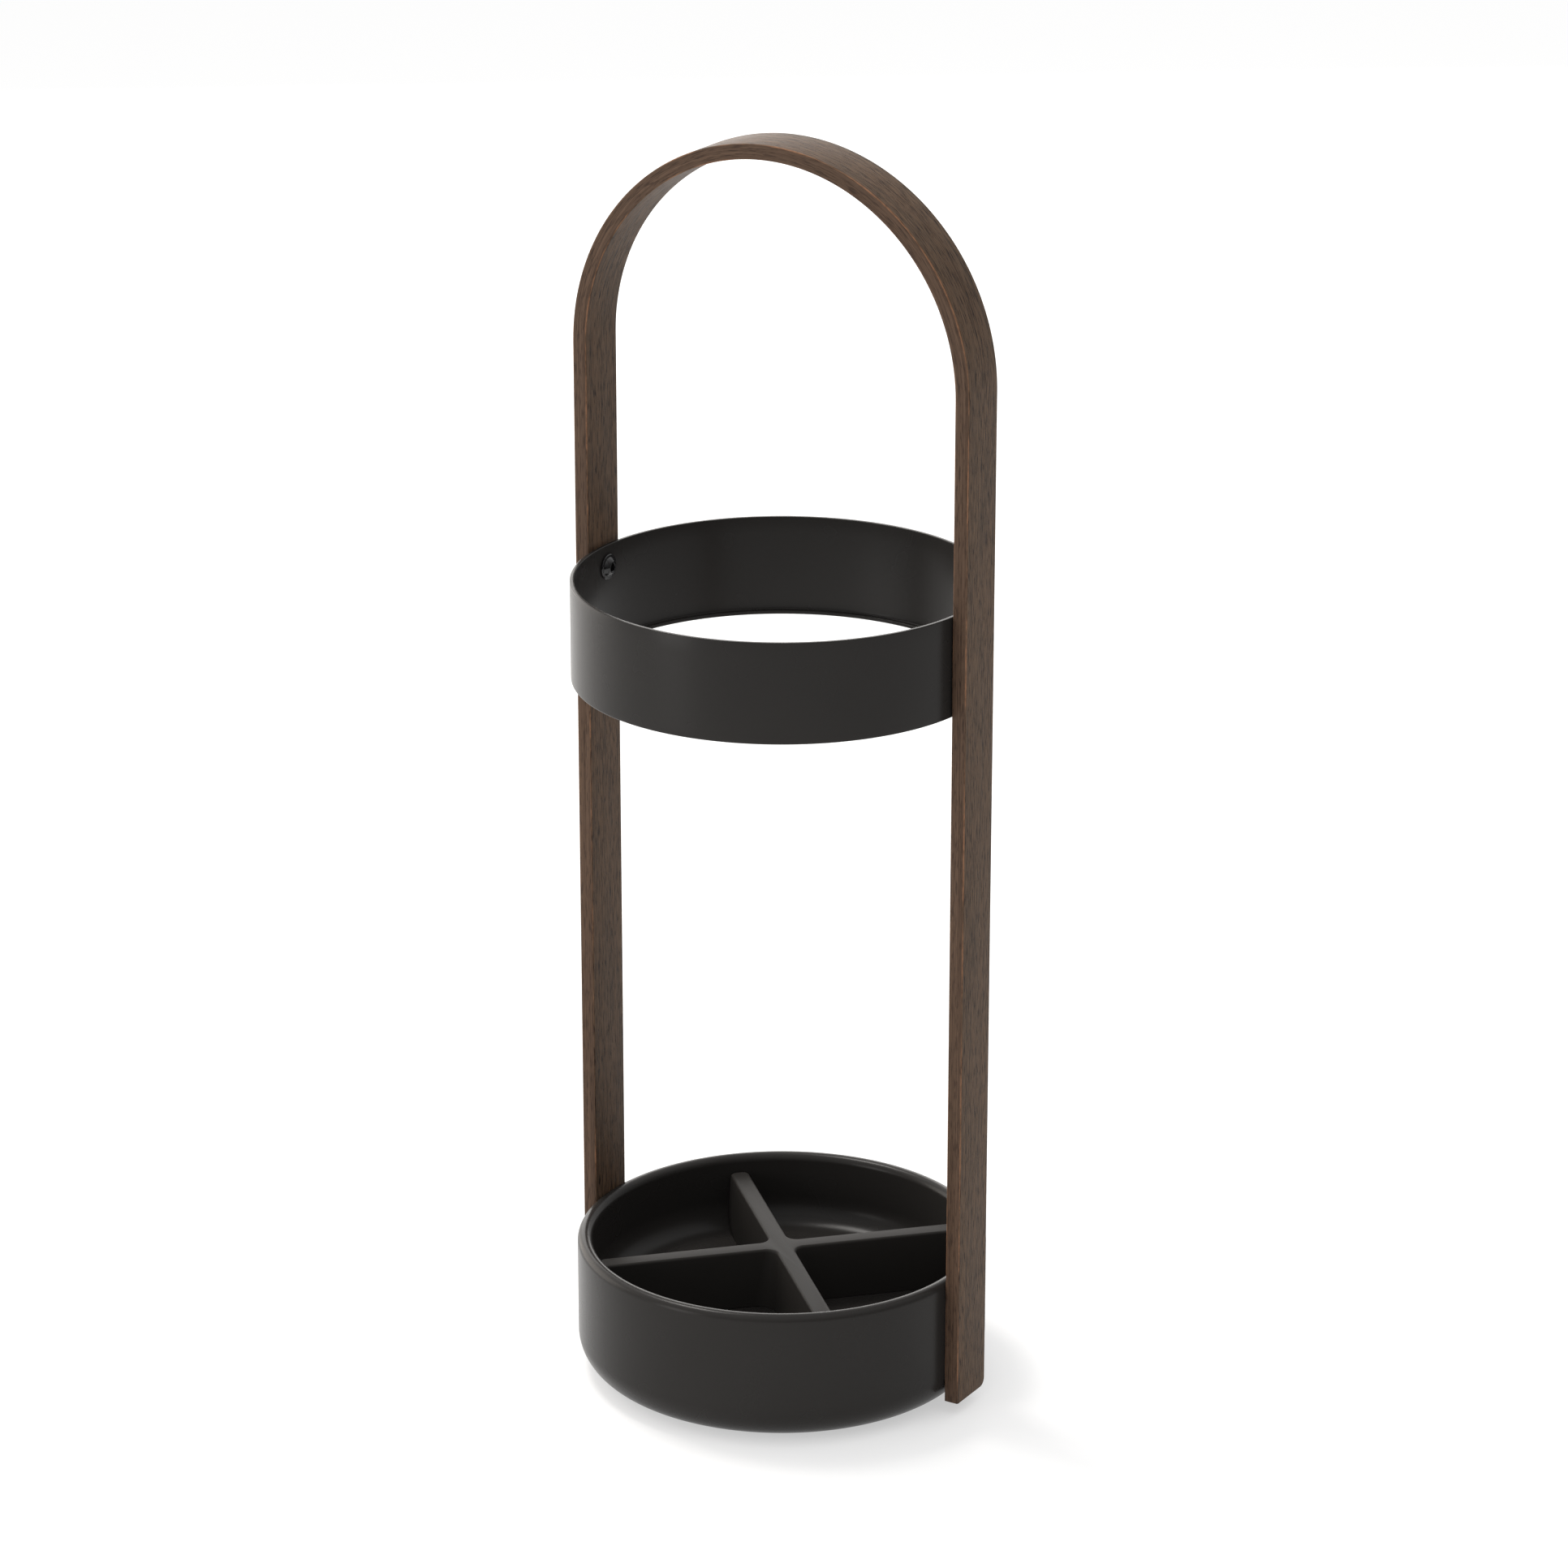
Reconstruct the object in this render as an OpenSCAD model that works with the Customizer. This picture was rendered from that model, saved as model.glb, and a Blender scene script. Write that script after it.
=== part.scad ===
// Umbrella stand: a bentwood hoop carries an upper ring and a weighted bowl base.
// A loose cross-shaped divider lies in the bowl. Millimetres, +Z up, floor at z = 0.
// The hoop stands in the XZ plane, its legs at -X and +X, and -Y is the front.

/* [Bentwood hoop] */
// Height of the top of the arch above the floor
overall_h = 665; // [640:1:690]
// Radius of the inside of the arch, and half the distance between the legs
hoop_r = 108; // [107.5:0.5:108]
// Thickness of the laminated strip
strip_t = 8; // [8:0.5:10]
// Width of the strip, front to back
strip_w = 29; // [29:1:34]
// Rounding of the strip's long edges
strip_edge_r = 0.8; // [0.5:0.1:2]
// Rounding of the rear lower corner of each leg
leg_corner_r = 4; // [2:0.5:6]
// Height of the legs' lower ends above the underside of the base
leg_lift = 6; // [4:0.5:8]

/* [Upper ring] */
// Height of the ring
ring_h = 53; // [46:1:60]
// Height of the ring's lower edge above the floor
ring_z = 385; // [340:1:420]
// Wall of the ring
ring_wall = 2.2; // [1.8:0.1:2.4]
// Radius of the opening inside the ring's lower flange
ring_lip_r = 102.5; // [98:0.5:103]
// Thickness of the lower flange
ring_lip_t = 2; // [1.5:0.5:3]
// Distance of the ring's screws from its upper edge
ring_screw_inset = 11.5; // [10:0.5:16]

/* [Base] */
// Outer radius of the base
base_r = 108.5; // [108:0.5:109]
// Height of the base without its feet
base_h = 73; // [70:0.5:80]
// Rounding of the base's lower outer edge
base_edge_r = 19; // [14:0.5:19]
// Width of the rounded rim
rim_w = 8; // [8:0.5:9]
// Height of the bowl's floor above the underside of the base
bowl_floor_h = 33.5; // [32:0.5:36]
// Radius between the bowl's floor and its wall
bowl_fillet_r = 15; // [12:0.5:16]
// Wall of the moulded shell
shell_wall = 2.6; // [2.4:0.1:2.8]
// How far the rubber feet stand out under the base
foot_h = 1.5; // [1:0.1:2.5]

/* [Divider] */
// Height of the divider
divider_h = 31; // [26:0.5:34]
// Length of each arm from the centre
arm_len = 98.5; // [94:0.5:98.5]
// Width of an arm at its top
arm_top_w = 10; // [9:0.5:12]
// Width of an arm at its foot
arm_foot_w = 15; // [13:0.5:17]
// Inside corner radius between two arms, at the top
hub_r = 6; // [5:0.5:8]

/* [Hidden] */
$fn = 96;
eps = 0.01;
// Clearance between loose parts
gap = 0.3;
// How far a cut runs past the face it goes through, and a joined shape into its neighbour
past = 1;

// Heights
base_z = foot_h;
rim_z = base_z + base_h;
bowl_z = base_z + bowl_floor_h;
leg_z = base_z + leg_lift;
arch_z = overall_h - strip_t - hoop_r;

// The ring fits between the legs and touches both
ring_r = hoop_r;
ring_edge_r = 1;
ring_rim_edge_r = 0.5;

// Base shell, with a flat seat for each leg
rim_r = rim_w / 2;
bowl_r = base_r - rim_w;
seat_w = strip_w - 1;
seat_x = hoop_r - 4;
base_opening_r = base_r - base_edge_r - 2.5;

// Fasteners: M6 button-head screws with a collar, in threaded inserts
screw_d = 5.9;
screw_hole_d = 6.4;
ring_screw_len = 8;
base_screw_len = 10;
collar_d = 13.6;
collar_t = 1.2;
head_d = 10.5;
head_h = 3.3;
head_flat_r = 3;
socket_af = 4;
socket_depth = 2;
insert_d = 8.6;
insert_bore_d = 6;
insert_len = 6;
insert_hole_len = 6.5;

// One screw at each side of the ring, and how far out its collar sits on the round wall
ring_collar_x = sqrt(pow(ring_r - ring_wall, 2) - pow(collar_d / 2, 2));
ring_places = ["left", "right"];
ring_screw_z = ring_z + ring_h - ring_screw_inset;

// Screw places in the base, below the bowl
base_places = ["left_front", "left_back", "right_front", "right_back"];
base_screw_y = 7.2;
base_screw_z = base_z + 27;

// Weight, cover, cover screws and feet
cover_t = 2.5;
cover_z = base_z + 0.5;
cover_top = cover_z + cover_t;
ballast_t = 10;
ballast_r = 76;
boss_ring_r = 81;
boss_d = 9;
boss_top = bowl_z - 0.5;
rib_t = 2.5;
rib_ring_r = 50;
cover_screw_d = 3.9;
cover_screw_hole_d = 4;
cover_screw_len = 12;
cover_head_d = 7.6;
cover_head_h = 2;
cross_recess = [4, 1, 1.1];
foot_d = 14;
foot_ring_r = 78;
foot_pocket = 1;
base_corners = ["1", "2", "3", "4"];

// Divider
divider_z = bowl_z + gap;
divider_edge_r = 1.3;
divider_wall = 2.4;
arm_end_r = 3.5;
hub_foot_r = hub_r + 4;
arm_wall_gap = 1.2;
arc_steps = 4;
edge_steps = 3;
side_steps = 5;
hollow_steps = 3;

// Turns children, made along +Z, to point out of the left or right leg
module on_leg(left, y, z) {
    translate([0, y, z]) rotate([0, 0, left ? 180 : 0]) rotate([0, 90, 0]) children();
}

module at_ring_place(place) on_leg(place == 0, 0, ring_screw_z) children();

module at_base_place(place) {
    on_leg(place < 2, place % 2 == 0 ? -base_screw_y : base_screw_y, base_screw_z) children();
}

module at_corner(corner, radius, turn) {
    rotate([0, 0, turn + 90 * corner]) translate([radius, 0, 0]) children();
}

// A rectangle with round corners, centred
module round_rect(size, r) {
    square([size[0] - 2 * r, size[1]], center = true);
    square([size[0], size[1] - 2 * r], center = true);
    for (x = [-1, 1], y = [-1, 1]) {
        translate([x * (size[0] / 2 - r), y * (size[1] / 2 - r)]) circle(r);
    }
}

// Collar button-head screw along +Z, its head below z = 0
module collar_screw(length) {
    dome_c = (pow(head_d / 2, 2) + pow(collar_t, 2) - pow(head_flat_r, 2) - pow(head_h, 2))
        / (2 * (collar_t - head_h));
    dome_r = sqrt(pow(head_flat_r, 2) + pow(head_h - dome_c, 2));
    translate([0, 0, -collar_t]) cylinder(d = screw_d, h = collar_t + length);
    difference() {
        union() {
            translate([0, 0, -collar_t]) cylinder(d = collar_d, h = collar_t);
            intersection() {
                translate([0, 0, -head_h]) cylinder(d = head_d, h = head_h);
                translate([0, 0, -dome_c]) sphere(dome_r);
            }
        }
        translate([0, 0, -head_h - eps]) {
            cylinder(d = socket_af / cos(30), h = socket_depth, $fn = 6);
        }
    }
}

module threaded_insert() {
    difference() {
        cylinder(d = insert_d, h = insert_len);
        translate([0, 0, -eps]) cylinder(d = insert_bore_d, h = insert_len + 2 * eps);
    }
}

// ---- bentwood hoop ----

module hoop_blank() {
    translate([0, 0, arch_z]) rotate([90, 0, 0]) rotate_extrude(angle = 180) {
        translate([hoop_r + strip_t / 2, 0]) round_rect([strip_t, strip_w], strip_edge_r);
    }
    for (side = [-1, 1]) {
        translate([side * (hoop_r + strip_t / 2), 0, leg_z]) {
            linear_extrude(arch_z - leg_z) round_rect([strip_t, strip_w], strip_edge_r);
        }
    }
}

// What is cut off the rear lower corner of both legs
module leg_corner_cut() {
    width = 2 * (hoop_r + strip_t + past);
    translate([-width / 2, strip_w / 2 - leg_corner_r, leg_z]) difference() {
        translate([0, 0, -past]) cube([width, leg_corner_r + past, leg_corner_r + past]);
        translate([-past, 0, leg_corner_r]) rotate([0, 90, 0]) {
            cylinder(r = leg_corner_r, h = width + 2 * past);
        }
    }
}

module insert_hole() {
    translate([0, 0, hoop_r - past]) cylinder(d = insert_d, h = insert_hole_len + past);
}

module bentwood_hoop() {
    color("#4a3a30") difference() {
        hoop_blank();
        leg_corner_cut();
        for (place = [0:1]) at_ring_place(place) insert_hole();
        for (place = [0:3]) at_base_place(place) insert_hole();
    }
}

// ---- upper ring ----

module ring_section() {
    inner_r = ring_r - ring_wall;
    rim_h = ring_h - ring_rim_edge_r;
    translate([inner_r, 0]) square([ring_wall - ring_edge_r, rim_h]);
    translate([inner_r, ring_edge_r]) square([ring_wall, rim_h - ring_edge_r]);
    translate([ring_r - ring_edge_r, ring_edge_r]) circle(ring_edge_r);
    for (r = [inner_r + ring_rim_edge_r, ring_r - ring_rim_edge_r]) {
        translate([r, rim_h]) circle(ring_rim_edge_r);
    }
    translate([inner_r + ring_rim_edge_r, rim_h - past]) {
        square([ring_wall - 2 * ring_rim_edge_r, ring_rim_edge_r + past]);
    }
    translate([ring_lip_r + ring_lip_t / 2, 0]) {
        square([ring_r - ring_edge_r - ring_lip_r - ring_lip_t / 2, ring_lip_t]);
    }
    translate([ring_lip_r + ring_lip_t / 2, ring_lip_t / 2]) circle(ring_lip_t / 2);
}

module upper_ring() {
    hole_h = ring_r - ring_collar_x + 2 * past;
    color("#2b2a29") difference() {
        translate([0, 0, ring_z]) rotate_extrude() ring_section();
        for (place = [0:1]) {
            at_ring_place(place) translate([0, 0, ring_collar_x - past]) {
                cylinder(d = screw_hole_d, h = hole_h);
            }
        }
    }
}

module ring_screw(place) {
    color("#1b1b1b") at_ring_place(place) translate([0, 0, ring_collar_x]) collar_screw(ring_screw_len);
}

module ring_insert(place) {
    color("#b08d4a") at_ring_place(place) translate([0, 0, hoop_r]) threaded_insert();
}

// ---- base ----

// Half section of the base as if it were solid, shrunk all round by t
module base_outline(t) {
    translate([0, t]) square([base_r - base_edge_r, base_h - rim_r - t]);
    translate([0, base_edge_r]) square([base_r - t, base_h - rim_r - base_edge_r]);
    translate([base_r - base_edge_r, base_edge_r]) circle(base_edge_r - t);
    translate([base_r - rim_r, base_h - rim_r]) circle(rim_r - t);
}

// Half section of the bowl's hollow, grown all round by t
module bowl_outline(t) {
    floor_h = bowl_floor_h - t;
    side_h = bowl_floor_h + bowl_fillet_r;
    translate([0, floor_h]) square([bowl_r - bowl_fillet_r, base_h]);
    translate([0, side_h]) square([bowl_r + t, base_h]);
    translate([bowl_r - bowl_fillet_r, side_h]) circle(bowl_fillet_r + t);
}

module shell_section() {
    difference() {
        union() {
            difference() {
                base_outline(0);
                bowl_outline(0);
            }
            translate([bowl_r + rim_r, base_h - rim_r]) circle(rim_r);
        }
        difference() {
            base_outline(shell_wall);
            bowl_outline(shell_wall);
            translate([bowl_r, base_h - rim_r]) square([rim_w, rim_w]);
        }
        translate([0, -past]) square([base_opening_r, base_edge_r]);
    }
}

// Block inside the round wall that a leg is screwed to, flush with the leg's inner face
module leg_seat(side) {
    seat_z = base_z + base_edge_r - past;
    seat_h = base_h - base_edge_r - rim_w;
    translate([side > 0 ? seat_x : -hoop_r, -seat_w / 2, seat_z]) {
        cube([hoop_r - seat_x, seat_w, seat_h]);
    }
}

// What is cut off the round wall behind a leg
module leg_flat(side) {
    cut = base_r - hoop_r + past;
    translate([side > 0 ? hoop_r : -hoop_r - cut, -strip_w / 2, base_z]) cube([cut, strip_w, base_h]);
}

// Ribs that hold the weight down
module clamp_ribs() {
    rib_h = bowl_z - shell_wall + past - cover_top - ballast_t;
    translate([0, 0, cover_top + ballast_t]) {
        for (turn = [0, 90]) {
            rotate([0, 0, turn]) translate([-ballast_r, -rib_t / 2, 0]) cube([2 * ballast_r, rib_t, rib_h]);
        }
        difference() {
            cylinder(r = rib_ring_r, h = rib_h);
            translate([0, 0, -past]) cylinder(r = rib_ring_r - rib_t, h = rib_h + 2 * past);
        }
    }
}

module base_shell() {
    hole_h = hoop_r - seat_x + 2 * past;
    color("#2b2a29") difference() {
        union() {
            translate([0, 0, base_z]) rotate_extrude() shell_section();
            for (side = [-1, 1]) leg_seat(side);
            clamp_ribs();
            for (corner = [0:3]) {
                at_corner(corner, boss_ring_r, 45) translate([0, 0, cover_top]) {
                    cylinder(d = boss_d, h = boss_top - cover_top);
                }
            }
        }
        for (side = [-1, 1]) leg_flat(side);
        for (place = [0:3]) {
            at_base_place(place) translate([0, 0, seat_x - past]) {
                cylinder(d = screw_hole_d, h = hole_h);
            }
        }
        for (corner = [0:3]) {
            at_corner(corner, boss_ring_r, 45) translate([0, 0, cover_top - past]) {
                cylinder(d = cover_screw_hole_d, h = cover_screw_len + past);
            }
        }
    }
}

module base_screw(place) {
    color("#1b1b1b") at_base_place(place) translate([0, 0, seat_x]) collar_screw(base_screw_len);
}

module base_insert(place) {
    color("#b08d4a") at_base_place(place) translate([0, 0, hoop_r]) threaded_insert();
}

module ballast_plate() {
    color("#55585b") translate([0, 0, cover_top]) cylinder(r = ballast_r, h = ballast_t);
}

module bottom_cover() {
    color("#2a2a2a") difference() {
        translate([0, 0, cover_z]) cylinder(r = base_opening_r - gap, h = cover_t);
        for (corner = [0:3]) {
            at_corner(corner, foot_ring_r, 0) translate([0, 0, cover_z - past]) {
                cylinder(d = foot_d, h = foot_pocket + past);
            }
            at_corner(corner, boss_ring_r, 45) translate([0, 0, cover_z]) {
                translate([0, 0, -past]) cylinder(d = cover_screw_hole_d, h = cover_t + 2 * past);
                cylinder(d1 = cover_head_d, d2 = cover_screw_hole_d, h = cover_head_h);
            }
        }
    }
}

module cover_screw(corner) {
    color("#8d8f92") at_corner(corner, boss_ring_r, 45) translate([0, 0, cover_z]) difference() {
        union() {
            cylinder(d = cover_screw_d, h = cover_screw_len);
            cylinder(d1 = cover_head_d - 0.1, d2 = cover_screw_d, h = cover_head_h);
        }
        for (turn = [0, 90]) {
            rotate([0, 0, turn]) cube([cross_recess[0], cross_recess[1], 2 * cross_recess[2]], center = true);
        }
    }
}

module rubber_foot(corner) {
    color("#3a3a3a") at_corner(corner, foot_ring_r, 0) {
        cylinder(d = foot_d, h = cover_z + foot_pocket);
    }
}

// ---- divider ----

function arc(centre, r, from, to) = [
    for (i = [0:arc_steps])
        let (a = from + (to - from) * i / arc_steps)
        centre + r * [cos(a), sin(a)]
];

function turned(points, a) = [
    for (p = points) [p[0] * cos(a) - p[1] * sin(a), p[0] * sin(a) + p[1] * cos(a)]
];

// One quarter of the cross: the end of an arm along +X and the corner after it
function cross_quarter(half_w, length, corner_r, end_r) = concat(
    arc([length - end_r, -half_w + end_r], end_r, -90, 0),
    arc([length - end_r, half_w - end_r], end_r, 0, 90),
    arc([half_w + corner_r, half_w + corner_r], corner_r, 270, 180)
);

// Distance from the axis to the bowl's wall at a height over its floor
function bowl_reach(h) = let (r = bowl_fillet_r, rise = min(max(h, 0), r))
    bowl_r - r + sqrt(r * r - pow(r - rise, 2));

// The cross's outline at a share of its height (0 foot, 1 top), drawn in by inset
function cross_slice(share, z, inset) =
    let (
        half_w = (arm_foot_w + (arm_top_w - arm_foot_w) * share) / 2 - inset,
        corner_r = hub_foot_r + (hub_r - hub_foot_r) * share + inset,
        reach = bowl_reach(gap + share * divider_h) - arm_wall_gap,
        length = min(arm_len, reach) - inset,
        quarter = cross_quarter(half_w, length, corner_r, max(arm_end_r - inset, 0.5))
    )
    [for (q = [0:3], p = turned(quarter, 45 + 90 * q)) [p[0], p[1], z]];

// Flat cover over one outline of the cross: a convex face over each arm and a fan over the hub.
// first is the outline's first point and centre the point in its middle.
function cap(first, centre) =
    let (
        hub_from = 2 * (arc_steps + 1),
        quarter_n = 3 * (arc_steps + 1),
        starts = [for (q = [0:3]) first + q * quarter_n],
        before = [for (q = [0:3]) starts[(q + 3) % 4] + quarter_n - 1]
    )
    concat(
        [for (q = [0:3]) concat([before[q]], [for (i = [0:hub_from]) starts[q] + i])],
        [for (q = [0:3], i = [hub_from:quarter_n - 2]) [centre, starts[q] + i, starts[q] + i + 1]],
        [for (q = [0:3]) [centre, before[q], starts[q] + hub_from]]
    );

function reversed(list) = [for (i = [len(list) - 1:-1:0]) list[i]];

// Closed surface through a stack of outlines of the cross
module skin(slices) {
    n = len(slices[0]);
    last = len(slices) - 1;
    sides = [
        for (s = [0:last - 1], i = [0:n - 1])
            [(s + 1) * n + i, (s + 1) * n + (i + 1) % n, s * n + (i + 1) % n, s * n + i]
    ];
    middles = [for (s = [slices[0], slices[last]]) [0, 0, s[0][2]]];
    polyhedron(
        points = concat([for (s = slices, p = s) p], middles),
        faces = concat(
            sides,
            cap(0, n * (last + 1)),
            [for (f = cap(n * last, n * (last + 1) + 1)) reversed(f)]
        ),
        convexity = 8
    );
}

// Runs from the top of the hollow down its inside, then up the outside to the top
module divider_insert() {
    side_h = divider_h - divider_edge_r;
    hollow_h = divider_h - divider_wall;
    hollow = [
        for (i = [hollow_steps:-1:0])
            let (h = hollow_h * pow(i / hollow_steps, 2))
            cross_slice(h / divider_h, divider_z + h, divider_wall)
    ];
    outside = [
        for (i = [0:side_steps])
            let (h = side_h * pow(i / side_steps, 1.6))
            cross_slice(h / divider_h, divider_z + h, 0)
    ];
    top_edge = [
        for (i = [1:edge_steps])
            let (a = 90 * i / edge_steps, h = side_h + divider_edge_r * sin(a))
            cross_slice(h / divider_h, divider_z + h, divider_edge_r * (1 - cos(a)))
    ];
    color("#3b3a38") skin(concat(hollow, outside, top_edge));
}

bentwood_hoop();
upper_ring();
base_shell();
divider_insert();
ballast_plate();
bottom_cover();
for (i = [0:1]) {
    ring_screw(i);
    ring_insert(i);
}
for (i = [0:3]) {
    base_screw(i);
    base_insert(i);
    cover_screw(i);
    rubber_foot(i);
}
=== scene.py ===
import math

import bmesh
import bpy
from mathutils import Matrix, Vector


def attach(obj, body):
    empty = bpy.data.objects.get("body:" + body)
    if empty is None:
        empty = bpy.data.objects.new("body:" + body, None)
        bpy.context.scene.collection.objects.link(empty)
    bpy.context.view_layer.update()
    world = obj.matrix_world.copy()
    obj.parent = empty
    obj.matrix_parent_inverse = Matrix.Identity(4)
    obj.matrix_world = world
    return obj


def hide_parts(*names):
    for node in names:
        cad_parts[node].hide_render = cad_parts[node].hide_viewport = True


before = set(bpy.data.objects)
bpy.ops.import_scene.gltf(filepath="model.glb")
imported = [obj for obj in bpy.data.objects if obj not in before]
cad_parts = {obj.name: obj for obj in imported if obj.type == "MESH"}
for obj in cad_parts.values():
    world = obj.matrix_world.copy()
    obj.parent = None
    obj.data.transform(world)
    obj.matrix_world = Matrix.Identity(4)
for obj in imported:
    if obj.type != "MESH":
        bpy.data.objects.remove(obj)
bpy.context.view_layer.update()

MM = 0.001

# ---- sizes in mm, as in the CAD source ----
HOOP_R, STRIP_T, STRIP_W, STRIP_EDGE_R = 108.0, 8.0, 29.0, 0.8
LEG_Z, ARCH_Z, LEG_CORNER_R = 7.5, 549.0, 4.0
STRIP_MID_R = HOOP_R + STRIP_T / 2
RING_R, RING_WALL, RING_Z, RING_H = HOOP_R, 2.2, 385.0, 53.0
RING_LIP_R, RING_LIP_T, RING_LIP_FILLET_R = 102.5, 2.0, 0.8
RING_SCREW_Z, RING_EDGE_R, RING_RIM_EDGE_R = 426.5, 1.0, 0.5
BASE_Z, BASE_R, BASE_H, BASE_EDGE_R = 1.5, 108.5, 73.0, 19.0
RIM_R, BOWL_FLOOR_H, BOWL_FILLET_R, SHELL_WALL = 4.0, 33.5, 15.0, 2.6
BOWL_R = BASE_R - 2 * RIM_R
BASE_OPENING_R, BASE_OPENING_BEVEL = BASE_R - BASE_EDGE_R - 2.5, 0.4
BASE_SCREW_Y, BASE_SCREW_Z = 7.2, 28.5
SEAT_X, SEAT_W = HOOP_R - 4, STRIP_W - 1
SCREW_HOLE_R, INSERT_R, INSERT_HOLE_LEN = 3.2, 4.3, 6.5
COLLAR_R, COLLAR_T, HEAD_R, HEAD_H, HEAD_FLAT_R = 6.8, 1.2, 5.25, 3.3, 3.0
SOCKET_AF, SOCKET_DEPTH, SCREW_R = 4.0, 2.0, 2.95
RING_SCREW_LEN, BASE_SCREW_LEN = 8.0, 10.0
COLLAR_X = math.sqrt((RING_R - RING_WALL) ** 2 - COLLAR_R**2)
DIVIDER_Z, DIVIDER_H, ARM_LEN = 35.3, 31.0, 98.5
ARM_TOP_W, ARM_FOOT_W, ARM_END_R, ARM_WALL_GAP = 10.0, 15.0, 3.5, 1.2
HUB_R, HUB_FOOT_R, DIVIDER_EDGE_R, DIVIDER_WALL = 6.0, 10.0, 1.3, 2.4
DIVIDER_GAP = 0.3
FOOT_R, FOOT_H, FOOT_RING_R = 7.0, 3.0, 78.0
FOOT_EDGE_R, FOOT_BEVEL = 0.6, 0.2

# ---- how finely the curves are cut ----
SHARP = math.radians(35)
TURN_STEPS, HOLE_STEPS, SCREW_STEPS, FOOT_STEPS = 288, 48, 48, 64
LEG_STEPS, ARCH_STEPS, LEG_CORNER_STEPS, EDGE_STEPS = 60, 160, 8, 6
# How far a cut reaches past the face it opens
PAST = 1
SIDES = (("left", -1), ("right", 1))


# ---- mesh tools ----
def arc(cx, cy, r, start, end, steps):
    """Points on an arc, in degrees, both ends included."""
    angles = [math.radians(start + (end - start) * i / steps) for i in range(steps + 1)]
    return [(cx + r * math.cos(a), cy + r * math.sin(a)) for a in angles]


def make(name, verts, faces):
    """A smooth-shaded mesh object from points in mm."""
    mesh = bpy.data.meshes.new(name)
    mesh.from_pydata([tuple(c * MM for c in v) for v in verts], [], faces)
    obj = bpy.data.objects.new(name, mesh)
    bpy.context.scene.collection.objects.link(obj)
    tidy_mesh(obj)
    return obj


def tidy_mesh(obj):
    """Outward faces, smooth shading and sharp edges by angle."""
    bm = bmesh.new()
    bm.from_mesh(obj.data)
    bmesh.ops.remove_doubles(bm, verts=bm.verts, dist=1e-7)
    bmesh.ops.recalc_face_normals(bm, faces=bm.faces)
    bm.to_mesh(obj.data)
    bm.free()
    obj.data.polygons.foreach_set("use_smooth", [True] * len(obj.data.polygons))
    obj.data.set_sharp_from_angle(angle=SHARP)


def lathe(name, profile, segments, closed=True):
    """A profile of (radius, height) turned about +Z. A point of radius 0 is a pole."""
    verts, rows = [], []
    for r, z in profile:
        if r < 1e-6:
            rows.append([len(verts)] * segments)
            verts.append((0, 0, z))
            continue
        rows.append(list(range(len(verts), len(verts) + segments)))
        for i in range(segments):
            a = 2 * math.pi * i / segments
            verts.append((r * math.cos(a), r * math.sin(a), z))
    faces = []
    pairs = list(zip(rows, rows[1:] + rows[:1])) if closed else list(zip(rows, rows[1:]))
    for low, high in pairs:
        for i in range(segments):
            j = (i + 1) % segments
            loop = [low[i], low[j], high[j], high[i]]
            face = [v for k, v in enumerate(loop) if v not in loop[:k]]
            if len(face) > 2:
                faces.append(face)
    return make(name, verts, faces)


def ring_faces(count, n, first=0):
    """Faces between stacked rings of n points each."""
    faces = []
    for k in range(count - 1):
        a, b = first + k * n, first + (k + 1) * n
        for i in range(n):
            j = (i + 1) % n
            faces.append((a + i, a + j, b + j, b + i))
    return faces


def box(name, low, high):
    """A plain block, used only inside booleans."""
    xs, ys, zs = zip(low, high)
    verts = [(x, y, z) for x in xs for y in ys for z in zs]
    faces = [(0, 1, 3, 2), (4, 6, 7, 5), (0, 4, 5, 1), (2, 3, 7, 6), (0, 2, 6, 4), (1, 5, 7, 3)]
    return make(name, verts, faces)


def rod(name, r, x0, x1, y, z):
    """A cylinder along X, used only inside booleans."""
    obj = lathe(name, [(0, x0), (r, x0), (r, x1), (0, x1)], HOLE_STEPS, closed=False)
    turn = Matrix.Translation((0, y * MM, z * MM)) @ Matrix.Rotation(math.radians(90), 4, "Y")
    obj.data.transform(turn)
    return obj


def boolean(obj, tools, operation):
    """Applies one boolean for each tool, then deletes the tools."""
    for tool in tools:
        mod = obj.modifiers.new("cut", "BOOLEAN")
        mod.object, mod.operation, mod.solver = tool, operation, "EXACT"
    graph = bpy.context.evaluated_depsgraph_get()
    mesh = bpy.data.meshes.new_from_object(obj.evaluated_get(graph))
    obj.modifiers.clear()
    obj.data = mesh
    for tool in tools:
        bpy.data.objects.remove(tool)
    tidy_mesh(obj)


def place(obj, material, body, slot, *nodes):
    """Finishes a piece: material, body and the CAD nodes it stands for. The slot argument is not used.
    """
    obj.data.materials.clear()
    obj.data.materials.append(material)
    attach(obj, body)
    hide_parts(*nodes)
    return obj


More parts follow.
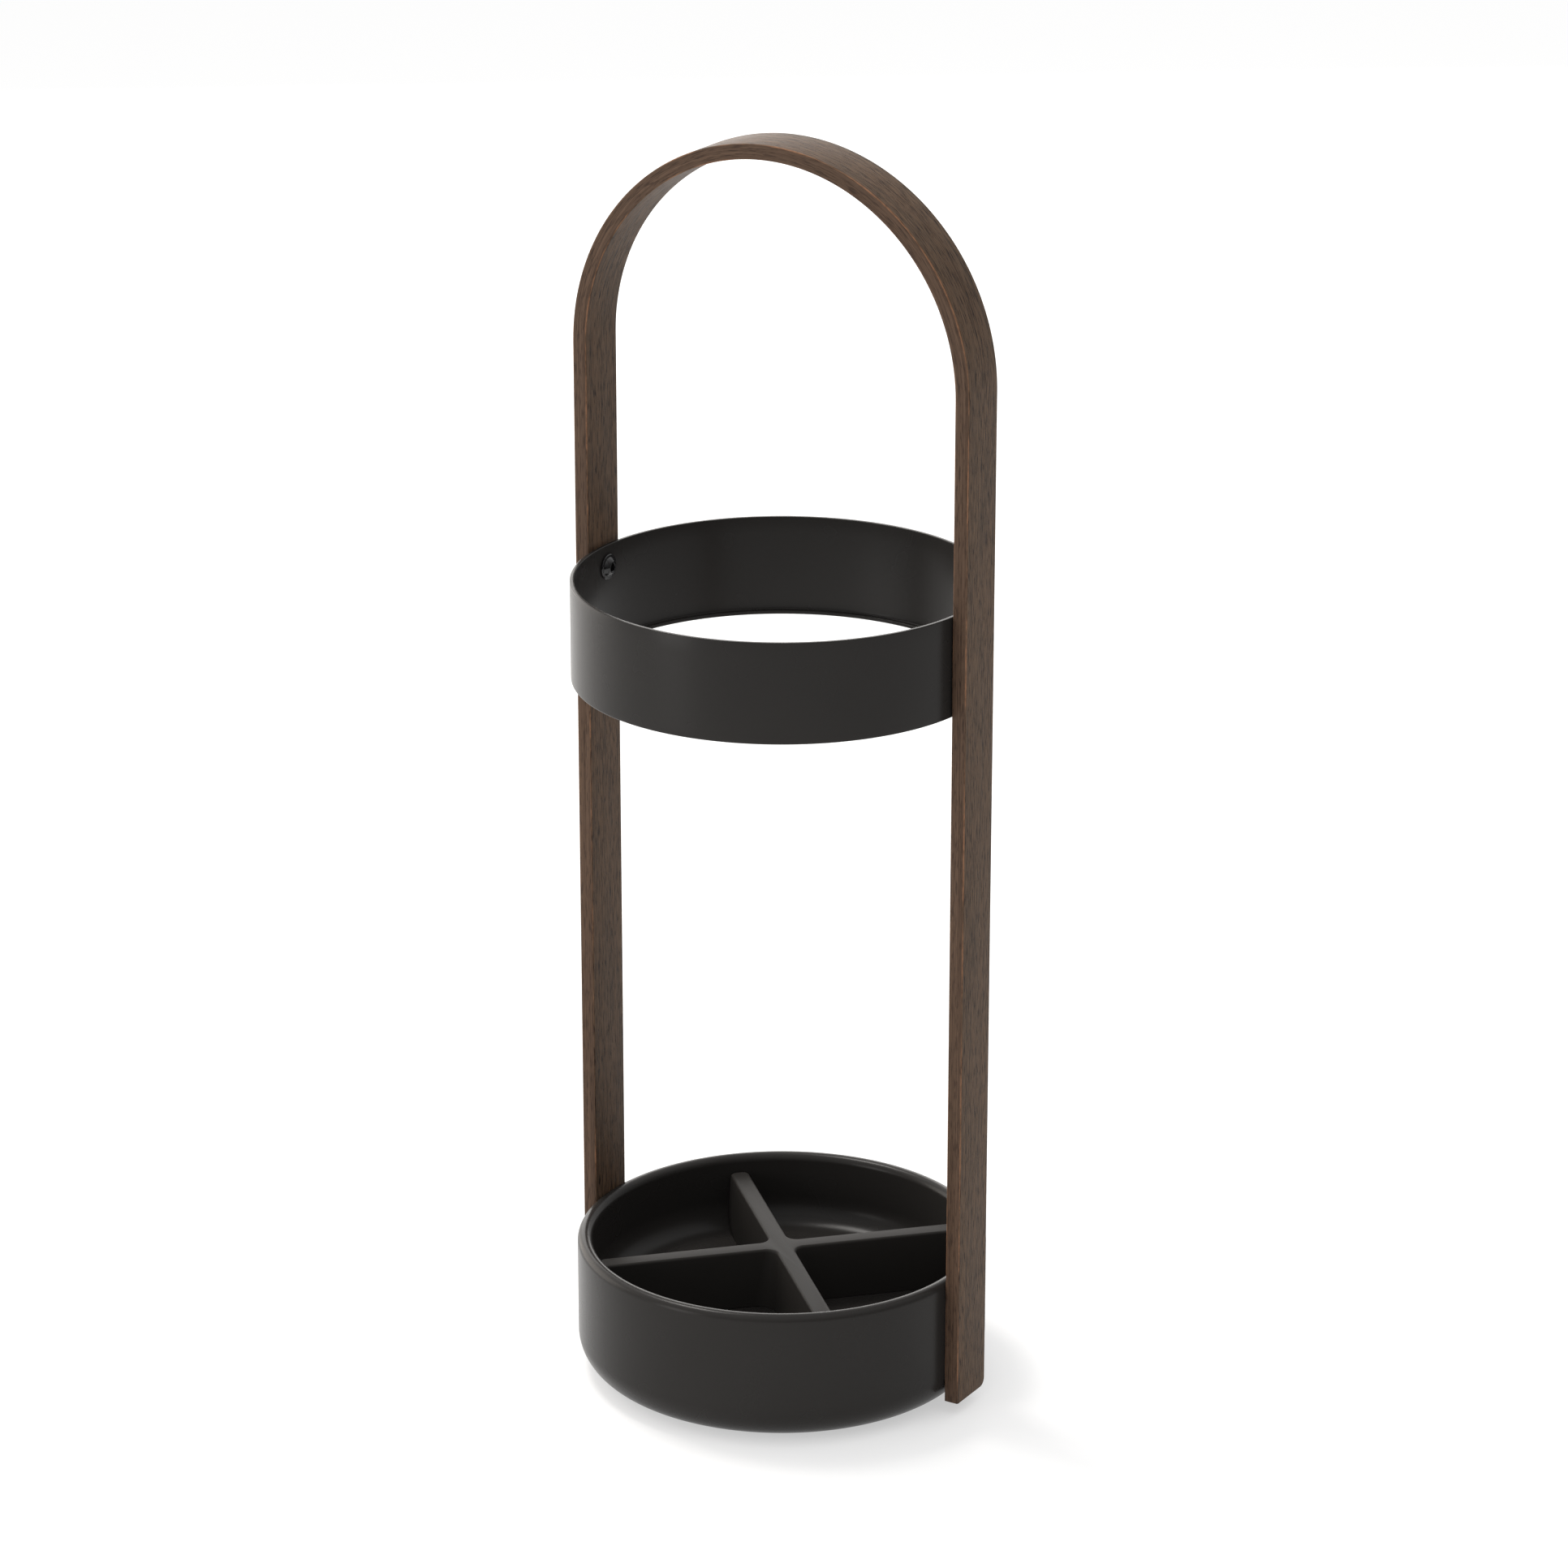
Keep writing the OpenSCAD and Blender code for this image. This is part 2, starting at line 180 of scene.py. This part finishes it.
# ---- shader tools ----
class Nodes:
    """Adds shader nodes to one node tree."""

    def __init__(self, tree):
        self.tree = tree

    def put(self, socket, value):
        if isinstance(value, bpy.types.NodeSocket):
            self.tree.links.new(value, socket)
        elif isinstance(value, tuple) and len(value) == 3 and len(socket.default_value) == 4:
            socket.default_value = (*value, 1.0)
        else:
            socket.default_value = value

    def add(self, kind, inputs, out=0, **props):
        node = self.tree.nodes.new("ShaderNode" + kind)
        for key, value in props.items():
            setattr(node, key, value)
        for key, value in inputs.items():
            self.put(node.inputs[key], value)
        return node.outputs[out]

    def math(self, operation, a, b=0.0):
        return self.add("Math", {0: a, 1: b}, operation=operation)

    def ramp(self, value, low, high, to_low=0.0, to_high=1.0):
        return self.add("MapRange", {"Value": value, "From Min": low, "From Max": high,
                                     "To Min": to_low, "To Max": to_high},
                        interpolation_type="SMOOTHSTEP")

    def mix(self, factor, a, b):
        return self.add("Mix", {0: factor, 6: a, 7: b}, out=2, data_type="RGBA")

    def stretch(self, vector, scale):
        return self.add("VectorMath", {0: vector, 1: scale}, operation="MULTIPLY")

    def noise(self, vector, scale=1.0, detail=2.0, roughness=0.5, distortion=0.0):
        return self.add("TexNoise", {"Vector": vector, "Scale": scale, "Detail": detail,
                                     "Roughness": roughness, "Distortion": distortion})

    def bump(self, height, distance, strength):
        return self.add("Bump", {"Height": height, "Distance": distance, "Strength": strength})


class Shader(Nodes):
    """One material with a Principled shader."""

    def __init__(self, name):
        self.material = bpy.data.materials.new(name)
        self.material.use_nodes = True
        super().__init__(self.material.node_tree)
        self.tree.nodes.clear()
        self.out = self.tree.nodes.new("ShaderNodeOutputMaterial")
        self.bsdf = self.tree.nodes.new("ShaderNodeBsdfPrincipled")
        self.tree.links.new(self.bsdf.outputs[0], self.out.inputs[0])

    def finish(self, **inputs):
        for key, value in inputs.items():
            self.put(self.bsdf.inputs[key.replace("_", " ")], value)
        return self.material


# ---- materials ----
WOOD_DARK, WOOD_LIGHT = (0.0458, 0.0274, 0.0167), (0.1061, 0.0640, 0.0386)
WOOD_GREYED, WOOD_FIBRE = (0.0808, 0.0568, 0.0399), (0.1352, 0.0827, 0.0507)
WOOD_FLECK, WOOD_PORE = (0.1477, 0.0965, 0.0632), (0.0156, 0.0097, 0.0068)
VENEER_DARK, VENEER_LIGHT = (0.0602, 0.0353, 0.0232), (0.1161, 0.0714, 0.0482)
# The last tone is thinned stain and a painted highlight for the rounded corners of the strip
VENEER_PORE, WORN_STAIN_AND_HIGHLIGHT = (0.0310, 0.0189, 0.0133), (0.29, 0.145, 0.080)
# Bump depths in metres
GRAIN_DEPTH, FINE_DEPTH = 0.00008, 0.00001


def wood():
    """Dark stained walnut. The strip attribute is (along, across, through) the strip in mm."""
    s = Shader("walnut_stain")
    strip = s.add("Attribute", {}, out=1, attribute_name="strip")
    across = s.add("SeparateXYZ", {0: strip}, out=1)
    through = s.add("SeparateXYZ", {0: strip}, out=2)

    broad = s.noise(s.stretch(strip, (0.005, 0.10, 0.10)), detail=2.0, roughness=0.5)
    bands = s.noise(s.stretch(strip, (0.012, 0.55, 0.55)), detail=3.0, roughness=0.6, distortion=0.25)
    fibre = s.noise(s.stretch(strip, (0.045, 1.15, 1.15)), detail=4.0, roughness=0.7)
    dashes = s.noise(s.stretch(strip, (0.13, 1.7, 1.7)), detail=2.0, roughness=0.6)
    pores = s.ramp(dashes, 0.52, 0.66)
    flecks = s.ramp(dashes, 0.46, 0.32)

    tone = s.mix(s.ramp(bands, 0.34, 0.66), WOOD_DARK, WOOD_LIGHT)
    tone = s.mix(s.ramp(broad, 0.35, 0.66, 0.0, 0.45), tone, WOOD_GREYED)
    tone = s.mix(s.ramp(fibre, 0.40, 0.66, 0.0, 0.7), tone, WOOD_FIBRE)
    tone = s.mix(s.math("MULTIPLY", flecks, 0.5), tone, WOOD_FLECK)
    tone = s.mix(s.math("MULTIPLY", pores, 0.9), tone, WOOD_PORE)

    # The narrow faces show the veneers on edge: redder, with fine lines along the strip
    far_out = s.math("ABSOLUTE", across)
    narrow = s.ramp(far_out, STRIP_W / 2 - 0.3, STRIP_W / 2 - 0.1)
    layers = s.noise(s.stretch(strip, (0.004, 0.0, 1.6)), detail=2.0, roughness=0.7)
    edge_tone = s.mix(s.ramp(layers, 0.35, 0.65), VENEER_DARK, VENEER_LIGHT)
    edge_tone = s.mix(s.math("MULTIPLY", pores, 0.5), edge_tone, VENEER_PORE)
    tone = s.mix(s.math("MULTIPLY", narrow, 0.75), tone, edge_tone)

    # Stain rubbed thin along the corners, in a broken line, together with a painted highlight on the
    # strip's rounded corners
    near_y = s.math("SUBTRACT", far_out, STRIP_W / 2 - STRIP_EDGE_R)
    near_t = s.math("SUBTRACT", s.math("ABSOLUTE", through), STRIP_T / 2 - STRIP_EDGE_R)
    corner = s.math("MINIMUM", near_y, near_t)
    patch = s.noise(s.stretch(strip, (0.022, 0.1, 0.1)), detail=4.0, roughness=0.7)
    reach = s.ramp(patch, 0.36, 0.60, 0.85, 0.28)
    worn_and_lit_edge = s.ramp(s.math("SUBTRACT", corner, reach), -0.3, 0.2)
    specks = s.noise(s.stretch(strip, (0.3, 1.5, 1.5)), detail=3.0, roughness=0.7)
    speck = s.ramp(specks, 0.32, 0.6, 0.25, 0.9)
    tone = s.mix(s.math("MULTIPLY", worn_and_lit_edge, speck), tone, WORN_STAIN_AND_HIGHLIGHT)

    rough = s.ramp(bands, 0.2, 0.8, 0.45, 0.54)
    height = s.math("SUBTRACT", s.math("MULTIPLY", fibre, 0.5), pores)
    normal = s.bump(height, GRAIN_DEPTH, 0.7)
    return s.finish(Base_Color=tone, Roughness=rough, Specular_IOR_Level=0.09, Normal=normal)


def plastic(name, color, light, roughness, level, grain=0.25):
    """Moulded plastic, rubber or satin paint: fine texture, faint clouds and smudges."""
    s = Shader(name)
    where = s.add("TexCoord", {}, out=3)
    cloud = s.noise(where, scale=9.0, detail=3.0, roughness=0.5)
    smudge = s.noise(where, scale=38.0, detail=2.0, roughness=0.5)
    fine = s.noise(where, scale=1000.0 / grain, detail=2.0, roughness=0.6)
    tone = s.mix(s.ramp(cloud, 0.3, 0.7), color, light)
    rough = s.ramp(smudge, 0.3, 0.75, roughness - 0.004, roughness + 0.006)
    normal = s.bump(fine, FINE_DEPTH, 0.2)
    return s.finish(Base_Color=tone, Roughness=rough, Specular_IOR_Level=level, Normal=normal)


def metal(name, color, dark, roughness, scale=900.0, metallic=1.0):
    """Turned or plated metal with fine marks and a little grime."""
    s = Shader(name)
    where = s.add("TexCoord", {}, out=3)
    marks = s.noise(where, scale=scale, detail=4.0, roughness=0.7)
    cloud = s.noise(where, scale=120.0, detail=3.0, roughness=0.6)
    tone = s.mix(s.ramp(cloud, 0.3, 0.7), color, dark)
    rough = s.ramp(marks, 0.3, 0.7, roughness - 0.06, roughness + 0.08)
    normal = s.bump(marks, FINE_DEPTH, 0.4)
    return s.finish(Base_Color=tone, Roughness=rough, Metallic=metallic, Normal=normal)


WOOD = wood()
SATIN_BLACK = plastic("satin_black", (0.0205, 0.0188, 0.0176), (0.0230, 0.0212, 0.0198), 0.27, 0.125)
DIVIDER_BLACK = plastic("divider_black", (0.0205, 0.0188, 0.0173), (0.0240, 0.0221, 0.0204), 0.42, 0.05)
COVER_BLACK = plastic("cover_black", (0.016, 0.016, 0.016), (0.021, 0.021, 0.021), 0.55, 0.4, 0.6)
FOOT_RUBBER = plastic("foot_rubber", (0.02, 0.02, 0.02), (0.028, 0.028, 0.027), 0.72, 0.3, 0.4)
BLACK_STEEL = metal("black_steel", (0.010, 0.010, 0.0105), (0.007, 0.007, 0.0075), 0.17, metallic=0.0)
ZINC_STEEL = metal("zinc_steel", (0.56, 0.57, 0.58), (0.42, 0.43, 0.44), 0.34)
INSERT_BRASS = metal("insert_brass", (0.60, 0.44, 0.19), (0.46, 0.32, 0.13), 0.33)
BALLAST_IRON = metal("ballast_iron", (0.12, 0.12, 0.125), (0.07, 0.068, 0.066), 0.62, scale=300.0)


# ---- bentwood hoop ----
def strip_section(back):
    """Outline of the strip as (through, across), its rear face at the given place."""
    half_t, r = STRIP_T / 2, STRIP_EDGE_R
    front = -STRIP_W / 2
    corners = [(half_t - r, front + r, -90), (half_t - r, back - r, 0),
               (-half_t + r, back - r, 90), (-half_t + r, front + r, 180)]
    ring = []
    for t, y, start in corners:
        ring += arc(t, y, r, start, start + 90, EDGE_STEPS)
    return ring


def hoop_stations():
    """Places along the strip: (arch angle or None, side, height, rear face)."""
    full = STRIP_W / 2
    low = []
    for i in range(LEG_CORNER_STEPS + 1):
        a = math.radians(90 * i / LEG_CORNER_STEPS)
        z = LEG_Z + LEG_CORNER_R * (1 - math.cos(a))
        low.append((z, full - LEG_CORNER_R * (1 - math.sin(a))))
    straight = ARCH_Z - LEG_Z - LEG_CORNER_R
    high = [LEG_Z + LEG_CORNER_R + straight * i / LEG_STEPS for i in range(1, LEG_STEPS)]
    leg = low + [(z, full) for z in high]
    stations = [(None, -1, z, back) for z, back in leg]
    stations += [(180 - 180 * i / ARCH_STEPS, 0, 0, full) for i in range(ARCH_STEPS + 1)]
    stations += [(None, 1, z, back) for z, back in reversed(leg)]
    return stations


def bentwood_hoop():
    """The bent strip with the insert holes in its legs."""
    verts = []
    stations = hoop_stations()
    for angle, side, z, back in stations:
        section = strip_section(back)
        for t, y in section:
            r = STRIP_MID_R + t
            if angle is None:
                verts.append((side * r, y, z))
            else:
                a = math.radians(angle)
                verts.append((r * math.cos(a), y, ARCH_Z + r * math.sin(a)))
    count, n = len(stations), len(section)
    faces = ring_faces(count, n)
    faces += [tuple(range(n)), tuple(range((count - 1) * n, count * n))]
    obj = make("hoop", verts, faces)
    holes = []
    for _, side in SIDES:
        ends = sorted((side * (HOOP_R - PAST), side * (HOOP_R + INSERT_HOLE_LEN)))
        places = [(0, RING_SCREW_Z), (-BASE_SCREW_Y, BASE_SCREW_Z), (BASE_SCREW_Y, BASE_SCREW_Z)]
        holes += [rod("hole", INSERT_R, *ends, y, z) for y, z in places]
    boolean(obj, holes, "DIFFERENCE")
    strip_coordinates(obj)
    return place(obj, WOOD, "stand", "walnut_stain", "bentwood_hoop")


def strip_coordinates(obj):
    """Stores (along, across, through) in mm, as if the strip lay flat."""
    values = []
    for v in obj.data.vertices:
        x, y, z = (c / MM for c in v.co)
        if z > ARCH_Z:
            along = STRIP_MID_R * (math.pi / 2 - math.atan2(z - ARCH_Z, x))
            through = math.hypot(x, z - ARCH_Z) - STRIP_MID_R
        else:
            along = math.copysign(STRIP_MID_R * math.pi / 2 + ARCH_Z - z, x)
            through = abs(x) - STRIP_MID_R
        values += [along, y, through]
    layer = obj.data.attributes.new("strip", "FLOAT_VECTOR", "POINT")
    layer.data.foreach_set("vector", values)


# ---- upper ring ----
def upper_ring():
    """The thin ring with a lip round its lower inner edge."""
    inner, top, low = RING_R - RING_WALL, RING_Z + RING_H, RING_Z
    edge, rim_edge, fillet = RING_EDGE_R, RING_RIM_EDGE_R, RING_LIP_FILLET_R
    fillet_z = low + RING_LIP_T + fillet
    wall_rows = (4, 8, 18, 34, 44)
    profile = arc(RING_R - edge, low + edge, edge, -90, 0, EDGE_STEPS)
    profile += [(RING_R, low + h) for h in wall_rows]
    profile += arc(RING_R - rim_edge, top - rim_edge, rim_edge, 0, 90, EDGE_STEPS)
    profile += arc(inner + rim_edge, top - rim_edge, rim_edge, 90, 180, EDGE_STEPS)
    profile += [(inner, low + h) for h in reversed(wall_rows)]
    profile += arc(inner - fillet, fillet_z, fillet, 0, -90, 4)
    profile += arc(RING_LIP_R + edge, low + edge, edge, 90, 270, 10)
    obj = lathe("ring", profile, TURN_STEPS)
    holes = []
    for _, side in SIDES:
        ends = sorted((side * (RING_R - 8), side * (RING_R + 2)))
        holes.append(rod("hole", SCREW_HOLE_R, *ends, 0, RING_SCREW_Z))
    boolean(obj, holes, "DIFFERENCE")
    return place(obj, SATIN_BLACK, "stand", "satin_black", "upper_ring")


# ---- base ----
def base_shell():
    """The bowl and outer wall, turned as one double-walled shell."""
    wall, bevel = SHELL_WALL, BASE_OPENING_BEVEL
    rim_z = BASE_H - RIM_R
    side_z = BOWL_FLOOR_H + BOWL_FILLET_R
    edge_x, fillet_x = BASE_R - BASE_EDGE_R, BOWL_R - BOWL_FILLET_R
    profile = [(BASE_OPENING_R + bevel, 0)]
    profile += arc(edge_x, BASE_EDGE_R, BASE_EDGE_R, -90, 0, 20)
    profile += [(BASE_R, h) for h in (26, 37, 48, 59)]
    profile += arc(BASE_R - RIM_R, rim_z, RIM_R, 0, 180, 28)
    profile += [(BOWL_R, side_z + (rim_z - side_z) / 2)]
    profile += arc(fillet_x, side_z, BOWL_FILLET_R, 0, -90, 20)
    profile += [(r, BOWL_FLOOR_H) for r in (62, 40, 20, 0)]
    profile += [(0, BOWL_FLOOR_H - wall)]
    profile += arc(fillet_x, side_z, BOWL_FILLET_R + wall, -90, 0, 10)
    profile += [(BOWL_R + wall, rim_z), (BASE_R - wall, rim_z)]
    profile += arc(edge_x, BASE_EDGE_R, BASE_EDGE_R - wall, 0, -90, 10)
    profile += [(BASE_OPENING_R, wall), (BASE_OPENING_R, bevel)]
    obj = lathe("base", [(r, z + BASE_Z) for r, z in profile], TURN_STEPS)
    seat_low, seat_high = BASE_Z + BASE_EDGE_R - 1, BASE_Z + BASE_H - 2 * RIM_R - 1
    half_seat, half_strip = SEAT_W / 2, STRIP_W / 2
    seats, cuts = [], []
    for _, side in SIDES:
        x0, x1 = sorted((side * SEAT_X, side * HOOP_R))
        seats.append(box("seat", (x0, -half_seat, seat_low), (x1, half_seat, seat_high)))
        x0, x1 = sorted((side * HOOP_R, side * (BASE_R + PAST)))
        cuts.append(box("flat", (x0, -half_strip, BASE_Z), (x1, half_strip, BASE_Z + BASE_H)))
        ends = sorted((side * (SEAT_X - 2), side * (SEAT_X + 6)))
        for y in (-BASE_SCREW_Y, BASE_SCREW_Y):
            cuts.append(rod("hole", SCREW_HOLE_R, *ends, y, BASE_SCREW_Z))
    boolean(obj, seats, "UNION")
    boolean(obj, cuts, "DIFFERENCE")
    return place(obj, SATIN_BLACK, "stand", "satin_black", "base_shell")


# ---- divider ----
def bowl_reach(height):
    """Distance from the axis to the bowl's wall at a height over its floor."""
    rise = min(max(height, 0), BOWL_FILLET_R)
    return BOWL_R - BOWL_FILLET_R + math.sqrt(BOWL_FILLET_R**2 - (BOWL_FILLET_R - rise) ** 2)


def cross_outline(height, inset):
    """The cross at a height over its foot, as four arms with round corners between them."""
    share = height / DIVIDER_H
    half = (ARM_FOOT_W + (ARM_TOP_W - ARM_FOOT_W) * share) / 2 - inset
    corner = HUB_FOOT_R + (HUB_R - HUB_FOOT_R) * share + inset
    length = min(ARM_LEN, bowl_reach(DIVIDER_GAP + height) - ARM_WALL_GAP) - inset
    end = max(ARM_END_R - inset, 0.5)
    side = half + corner
    quarter = arc(length - end, -half + end, end, -90, 0, 8)
    quarter += arc(length - end, half - end, end, 0, 90, 8)
    quarter += [(side + (length - end - side) * k / 6, half) for k in (5, 4, 3, 2, 1)]
    quarter += arc(side, side, corner, 270, 180, 12)
    quarter += [(half, side + (length - end - side) * k / 6) for k in (1, 2, 3, 4, 5)]
    ring = []
    for q in range(4):
        a = math.radians(45 + 90 * q)
        cos_a, sin_a = math.cos(a), math.sin(a)
        ring += [(x * cos_a - y * sin_a, x * sin_a + y * cos_a) for x, y in quarter]
    return ring


def divider_insert():
    """The cross, hollow from below: down the inside first, then up the outside."""
    wall, edge = DIVIDER_WALL, DIVIDER_EDGE_R
    stack = [(h, wall) for h in [(DIVIDER_H - wall) * (i / 8) ** 2 for i in range(8, -1, -1)]]
    stack += [((DIVIDER_H - edge) * (i / 12) ** 1.6, 0) for i in range(13)]
    for i in range(1, 9):
        a = math.radians(90 * i / 8)
        stack.append((DIVIDER_H - edge + edge * math.sin(a), edge * (1 - math.cos(a))))
    verts = []
    for height, inset in stack:
        ring = cross_outline(height, inset)
        n = len(ring)
        verts += [(x, y, DIVIDER_Z + height) for x, y in ring]
    faces = ring_faces(len(stack), n)
    for first in (0, (len(stack) - 1) * n):
        faces.append(tuple(range(first, first + n)))
    obj = make("divider", verts, faces)
    return place(obj, DIVIDER_BLACK, "divider", "divider_black", "divider_insert")


# ---- screws and feet ----
def collar_screw(name, length):
    """Collar button-head screw along +Z, its head below z = 0, with a hexagon socket."""
    steps, bevel = SCREW_STEPS, 0.2
    dome_c = (HEAD_R**2 + COLLAR_T**2 - HEAD_FLAT_R**2 - HEAD_H**2) / (2 * (COLLAR_T - HEAD_H))
    dome_r = math.hypot(HEAD_FLAT_R, HEAD_H - dome_c)
    low = math.atan2(COLLAR_T - dome_c, HEAD_R)
    high = math.atan2(HEAD_H - dome_c, HEAD_FLAT_R)
    rings = [(SCREW_R - 0.6, length), (SCREW_R, length - 0.6), (SCREW_R, 0), (COLLAR_R - bevel, 0)]
    rings += [(COLLAR_R, -bevel), (COLLAR_R, -COLLAR_T + 0.35)]
    rings += [(COLLAR_R - 0.35, -COLLAR_T), (HEAD_R + 0.15, -COLLAR_T)]
    for a in (low + (high - low) * i / 8 for i in range(9)):
        rings.append((dome_r * math.cos(a), -(dome_c + dome_r * math.sin(a))))
    rings.append((HEAD_FLAT_R - 0.15, -HEAD_H))
    angles = [2 * math.pi * i / steps for i in range(steps)]
    verts = [(0, 0, length)]
    for r, z in rings:
        verts += [(r * math.cos(t), r * math.sin(t), z) for t in angles]
    for grow, z in ((0.22, -HEAD_H), (0, -HEAD_H + bevel), (0, -HEAD_H + SOCKET_DEPTH)):
        for t in angles:
            off = (t + math.pi / 6) % (math.pi / 3) - math.pi / 6
            r = SOCKET_AF / 2 / math.cos(off) + grow
            verts.append((r * math.cos(t), r * math.sin(t), z))
    count = len(rings) + 3
    faces = [(0, 1 + i, 1 + (i + 1) % steps) for i in range(steps)]
    faces += ring_faces(count, steps, first=1)
    verts.append((0, 0, -HEAD_H + SOCKET_DEPTH + 0.5))
    last = 1 + (count - 1) * steps
    faces += [(last + i, last + (i + 1) % steps, len(verts) - 1) for i in range(steps)]
    return make(name, verts, faces)


def outward(obj, side, y, z, x):
    """Turns a part made along +Z to point out of one leg, starting at distance x."""
    turn = Matrix.Rotation(0 if side > 0 else math.pi, 4, "Z") @ Matrix.Rotation(math.pi / 2, 4, "Y")
    shift = Matrix.Translation((0, 0, x * MM))
    obj.data.transform(Matrix.Translation((0, y * MM, z * MM)) @ turn @ shift)


def screws():
    """One screw at each side of the ring and two at each side of the base."""
    for word, side in SIDES:
        screw = collar_screw(f"screw_{word}", RING_SCREW_LEN)
        outward(screw, side, 0, RING_SCREW_Z, COLLAR_X)
        place(screw, BLACK_STEEL, "stand", "black_steel", f"ring_screw_{word}")
        for end, y in (("front", -BASE_SCREW_Y), ("back", BASE_SCREW_Y)):
            screw = collar_screw(f"base_bolt_{word}_{end}", BASE_SCREW_LEN)
            outward(screw, side, y, BASE_SCREW_Z, SEAT_X)
            place(screw, BLACK_STEEL, "stand", "black_steel", f"base_screw_{word}_{end}")


def feet():
    """Four round rubber feet."""
    profile = [(0, 0), (FOOT_R - 2.2, 0)]
    profile += arc(FOOT_R - FOOT_EDGE_R, FOOT_EDGE_R, FOOT_EDGE_R, -90, 0, 5)
    profile += [(FOOT_R, FOOT_H - FOOT_BEVEL), (FOOT_R - FOOT_BEVEL, FOOT_H), (0, FOOT_H)]
    for i in range(4):
        foot = lathe(f"foot_{i + 1}", profile, FOOT_STEPS, closed=False)
        a = math.radians(90 * i)
        x, y = FOOT_RING_R * math.cos(a) * MM, FOOT_RING_R * math.sin(a) * MM
        foot.data.transform(Matrix.Translation((x, y, 0)))
        place(foot, FOOT_RUBBER, "stand", "foot_rubber", f"rubber_foot_{i + 1}")


def repaint_cad():
    """CAD nodes that are shown as they are get their own material."""
    looks = {"ring_insert": INSERT_BRASS, "base_insert": INSERT_BRASS, "cover_screw": ZINC_STEEL,
             "bottom_cover": COVER_BLACK, "ballast_plate": BALLAST_IRON}
    for name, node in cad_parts.items():
        for start, material in looks.items():
            if name.startswith(start):
                node.data.materials.clear()
                node.data.materials.append(material)


# ---- studio ----
CAMERA_AZIMUTH, CAMERA_PITCH = math.radians(31.085), math.radians(19.653)
CAMERA_PLACE, CAMERA_LENS = (1.3836, -2.2928, 1.2825), 126.54


def area_light(name, where, aim, size, radiance, color):
    """A rectangular panel that the camera doesn't see, set by its radiance."""
    data = bpy.data.lights.new(name, "AREA")
    data.shape, data.size, data.size_y = "RECTANGLE", *size
    data.energy, data.color = radiance * math.pi * size[0] * size[1], color
    light = bpy.data.objects.new(name, data)
    light.location = where
    light.rotation_mode = "QUATERNION"
    light.rotation_quaternion = (Vector(aim) - Vector(where)).to_track_quat("-Z", "Y")
    light.visible_camera = False
    bpy.context.scene.collection.objects.link(light)


def floor():
    """A plain pale floor, wide enough to fill the picture."""
    half = 30
    corners = [(-half, -half, 0), (half, -half, 0), (half, half, 0), (-half, half, 0)]
    mesh = bpy.data.meshes.new("floor")
    mesh.from_pydata(corners, [], [(0, 1, 2, 3)])
    obj = bpy.data.objects.new("floor", mesh)
    bpy.context.scene.collection.objects.link(obj)
    s = Shader("floor")
    mesh.materials.append(s.finish(Base_Color=(0.5, 0.5, 0.5), Roughness=1.0, Specular_IOR_Level=0.0,
                                   Emission_Color=(1.0, 1.0, 1.0), Emission_Strength=0.50))


def sky():
    """A soft white surround, brighter overhead and to the left, dimmer at the front and right."""
    world = bpy.data.worlds.new("studio")
    bpy.context.scene.world = world
    world.use_nodes = True
    background = world.node_tree.nodes["Background"]
    s = Nodes(world.node_tree)
    where = s.add("TexCoord", {}, out=0)
    x = s.add("SeparateXYZ", {0: where}, out=0)
    y = s.add("SeparateXYZ", {0: where}, out=1)
    z = s.add("SeparateXYZ", {0: where}, out=2)
    light = s.ramp(z, 0.3, 0.95, 0.50, 1.15)
    light = s.math("ADD", light, s.ramp(x, -0.35, -0.95, 0.0, 0.3))
    light = s.math("ADD", light, s.ramp(y, 0.2, 0.95, 0.0, 0.3))
    light = s.math("ADD", light, s.ramp(x, 0.2, 0.9, 0.0, -0.25))
    s.put(background.inputs["Color"], (1.0, 1.0, 1.0))
    s.put(background.inputs["Strength"], light)


def studio():
    floor()
    sky()
    area_light("left_panel", (-1.9, 0.15, 0.6), (0, 0, 0.3), (1.8, 1.2), 2.85, (1.0, 0.92, 0.83))
    area_light("overhead", (-0.95, 0.25, 2.2), (0, 0, 0.2), (0.6, 0.6), 24.0, (1.0, 0.97, 0.93))
    area_light("front_panel", (-0.72, -1.45, 0.42), (0, 0, 0.3), (0.55, 0.8), 3.7, (1.0, 0.975, 0.95))
    area_light("back_panel", (-1.7, 2.4, 1.05), (0, 0, 0.4), (2.2, 1.7), 2.35, (1.0, 0.965, 0.93))


def camera():
    """A long lens to the right of the front, looking down at the stand."""
    data = bpy.data.cameras.new("camera")
    data.sensor_width, data.lens = 36.0, CAMERA_LENS
    data.clip_start, data.clip_end = 0.05, 100
    obj = bpy.data.objects.new("camera", data)
    flat = math.cos(CAMERA_PITCH)
    forward = Vector((-math.sin(CAMERA_AZIMUTH) * flat, math.cos(CAMERA_AZIMUTH) * flat,
                      -math.sin(CAMERA_PITCH)))
    obj.location = CAMERA_PLACE
    obj.rotation_mode = "QUATERNION"
    obj.rotation_quaternion = forward.to_track_quat("-Z", "Y")
    bpy.context.scene.collection.objects.link(obj)
    bpy.context.scene.camera = obj
    bpy.context.scene.view_settings.view_transform = "Standard"


bentwood_hoop()
upper_ring()
base_shell()
divider_insert()
screws()
feet()
repaint_cad()
studio()
camera()
